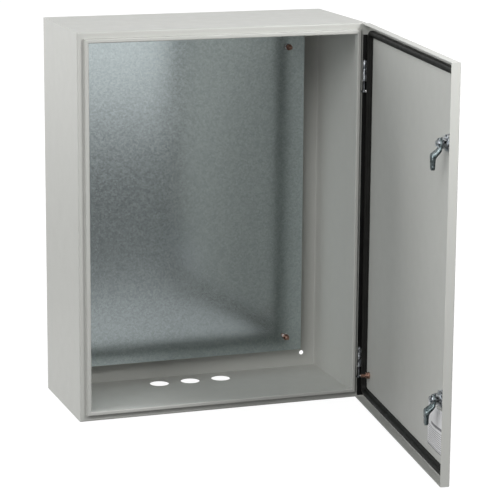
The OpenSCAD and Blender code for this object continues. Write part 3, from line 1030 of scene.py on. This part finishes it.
@dataclass(frozen=True)
class Lamp:
    """A square lamp: its place and side in metres, and its power in watts."""

    name: str
    at: Triple
    side: float
    power: float

    def hang(self, aim: Triple) -> None:
        """Hangs the lamp.

        Args:
            aim: Point it faces.
        """
        data = bpy.data.lights.new(self.name, "AREA")
        data.shape, data.size, data.energy = "SQUARE", self.side, self.power
        lamp = bpy.data.objects.new(self.name, data)
        lamp.location = self.at
        lamp.rotation_euler = (Vector(aim) - Vector(self.at)).to_track_quat("-Z", "Y").to_euler()
        bpy.context.scene.collection.objects.link(lamp)


@dataclass
class Studio:
    """Floor, lamps, white surroundings and the camera.

    The painted reflection steps pair a distance on the floor, in metres from the middle, with how brightly
    the floor glows there in metal and glass. That glow is a painted reflection, dark near the enclosure and
    bright far off, which gives the galvanised plate a bright upper left and a darker middle.
    """

    camera_at: Triple = (-1.164, -3.658, 0.7554)
    yaw: float = 19.4
    pitch: float = -12.478
    roll: float = 0.432
    lens: float = 160.06
    sensor: float = 36.0
    far_clip: float = 60.0
    ambient: float = 0.07
    floor_x: Pair = (-14.0, 14.0)
    floor_y: Pair = (-8.0, 20.0)
    floor_gap: float = 0.5
    floor_colour: Triple = (0.10, 0.10, 0.0985)
    floor_roughness: float = 0.9
    near_floor: float = 0.94
    floor_fade: Pair = (0.7, 2.6)
    mirror_reach: float = 5.0
    # Painted reflection: brightness of the floor's glow in metal and glass at each distance
    painted_reflection: tuple[Pair, ...] = (
        (0.45, 0.42), (0.64, 0.36), (0.86, 0.12), (1.1, 0.02), (1.7, 0.0), (2.0, 0.06), (2.4, 0.15),
        (2.84, 0.32), (3.34, 0.64), (3.9, 0.84), (4.6, 1.0))
    aim: Triple = (0.0, -0.2, 0.0)
    lamps: tuple[Lamp, ...] = (
        Lamp("key", (-2.2, -3.0, 2.6), 2.2, 73.0),
        Lamp("left_low", (-2.6, 1.6, 0.3), 2.0, 62.0),
        Lamp("back_high", (-1.6, 2.2, 2.8), 1.6, 36.0),
        Lamp("right_back", (2.8, 1.4, 1.2), 2.0, 30.0),
        Lamp("right_high", (1.8, 0.4, 3.4), 1.2, 14.5),
        Lamp("left_front", (-3.2, -2.2, 0.6), 2.0, 34.0),
        Lamp("right_front", (1.9, -3.6, 1.6), 1.8, 10.0),
        Lamp("door_edge", (0.55, -1.5, 1.0), 0.3, 14.5),
        Lamp("near_right", (1.0, -1.8, 1.4), 0.5, 3.5))

    def build(self) -> None:
        """Makes the studio: large soft lamps all round, and two small ones near the door's free edge."""
        self.floor()
        self.surroundings()
        for lamp in self.lamps:
            lamp.hang(self.aim)
        self.camera()
        bpy.context.scene.view_settings.view_transform = "Standard"

    def floor(self) -> None:
        """Lays the pale floor, which stays white to the camera and keeps a soft shadow."""
        level = CAD_LOW.z - self.floor_gap * MM
        (left, right), (front, back) = self.floor_x, self.floor_y
        mesh = bpy.data.meshes.new("floor")
        corners = [(left, front, level), (right, front, level), (right, back, level), (left, back, level)]
        mesh.from_pydata(corners, [], [(0, 1, 2, 3)])
        mesh.materials.append(self.floor_material())
        floor = bpy.data.objects.new("floor", mesh)
        bpy.context.scene.collection.objects.link(floor)

    def floor_material(self) -> bpy.types.Material:
        """Returns the floor's material, which glows only to the camera and in metal and glass, where the glow
        is a painted reflection graded by distance.
        """
        graph = ShaderGraph("floor_white")
        graph.finish(Base_Color=(*self.floor_colour, 1.0), Roughness=self.floor_roughness)
        rays = graph.add("ShaderNodeLightPath").outputs
        away = graph.add("ShaderNodeVectorMath", {0: graph.coords}, operation="LENGTH").outputs["Value"]
        direct = graph.maths("MULTIPLY", rays["Is Camera Ray"],
                             graph.spread(away, self.near_floor, 1.0, *self.floor_fade))
        bounced = graph.maths("MAXIMUM", rays["Is Glossy Ray"], rays["Is Transmission Ray"])
        # Painted reflection: the glow in metal and glass follows the steps, dark near the enclosure and
        # bright far off
        ramp = graph.add("ShaderNodeValToRGB", {0: graph.spread(away, 0.0, 1.0, 0.0, self.mirror_reach)})
        stops = ramp.color_ramp.elements
        for index, (distance, level) in enumerate(self.painted_reflection):
            share = distance / self.mirror_reach
            stop = stops[index] if index < 2 else stops.new(share)
            stop.position, stop.color = share, (level, level, level, 1.0)
        painted_reflection = graph.maths("MULTIPLY", bounced, ramp.outputs["Color"])
        glow = graph.add("ShaderNodeEmission",
                         {"Color": WHITE, "Strength": graph.maths("ADD", direct, painted_reflection)})
        mixed = graph.add("ShaderNodeAddShader", {0: graph.surface.outputs[0], 1: glow.outputs[0]})
        graph.feed(graph.tree.nodes["Material Output"], "Surface", mixed.outputs[0])
        return graph.material

    def surroundings(self) -> None:
        """Sets the world: white to the camera and in reflections, dimmer as light."""
        world = bpy.data.worlds.new("studio_white")
        bpy.context.scene.world = world
        world.use_nodes = True
        graph = Graph(world.node_tree)
        rays = graph.add("ShaderNodeLightPath").outputs
        bounced = graph.maths("MAXIMUM", rays["Is Glossy Ray"], rays["Is Transmission Ray"])
        seen = graph.maths("MAXIMUM", rays["Is Camera Ray"], bounced)
        background = graph.tree.nodes["Background"]
        graph.feed(background, "Color", WHITE)
        graph.feed(background, "Strength", graph.spread(seen, self.ambient, 1.0))

    def camera(self) -> None:
        """Stands the camera."""
        data = bpy.data.cameras.new("camera")
        data.lens, data.sensor_width, data.clip_end = self.lens, self.sensor, self.far_clip
        yaw, pitch = math.radians(self.yaw), math.radians(self.pitch)
        ahead = Vector((math.sin(yaw) * math.cos(pitch), math.cos(yaw) * math.cos(pitch), math.sin(pitch)))
        turn = ahead.to_track_quat("-Z", "Y").to_matrix().to_4x4()
        roll = Matrix.Rotation(math.radians(self.roll), 4, "Z")
        camera = bpy.data.objects.new("camera", data)
        camera.matrix_world = Matrix.Translation(self.camera_at) @ turn @ roll
        bpy.context.scene.collection.objects.link(camera)
        bpy.context.scene.camera = camera


# ---------------------------------------------------------------- whole enclosure


def main() -> None:
    """Builds the studio and every sub-assembly in order."""
    logging.basicConfig(level=logging.INFO, format="%(name)s: %(message)s")
    Studio().build()
    finishes = Finishes()
    place = DoorPlace()
    Cabinet(finishes).build()
    PlateAssembly(finishes).build()
    Hinges(finishes).build()
    Door(finishes, place).build()
    Locks(finishes, place).build()


if __name__ == "__main__":
    main()
